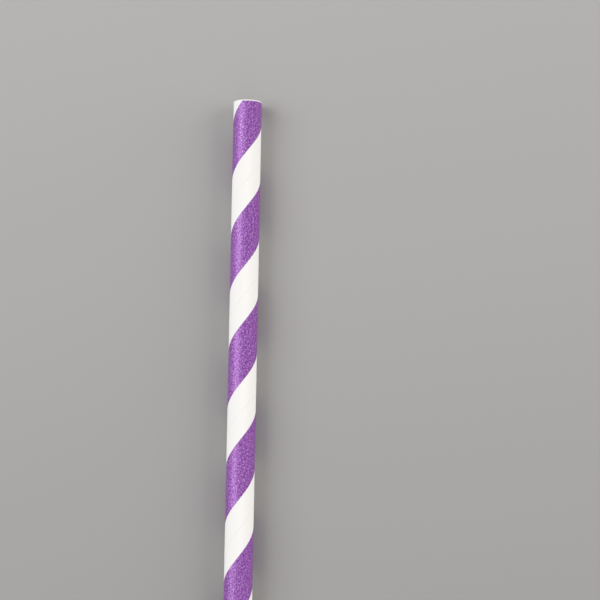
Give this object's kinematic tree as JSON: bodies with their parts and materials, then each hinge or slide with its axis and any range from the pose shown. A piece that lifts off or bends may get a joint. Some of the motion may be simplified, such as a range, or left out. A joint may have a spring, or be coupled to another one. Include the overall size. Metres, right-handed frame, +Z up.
{
  "type": "paper drinking straw",
  "caption": "Spiral-wound paper drinking straw, a thin straight tube with purple and white helical stripes.",
  "frame": {"origin": "below the middle of the tube, on the surface that it lies on", "axes": "+Y along the tube towards the drinking end, +Z up, the straw lying on its side"},
  "size_m": [0.006, 0.197, 0.006],
  "materials": {
    "printed_paper": "uncoated white kraft paper, with one wide purple stripe printed along the winding"
  },
  "bodies": {
    "root": {"straw_tube": "printed_paper"}
  },
  "joints": []
}
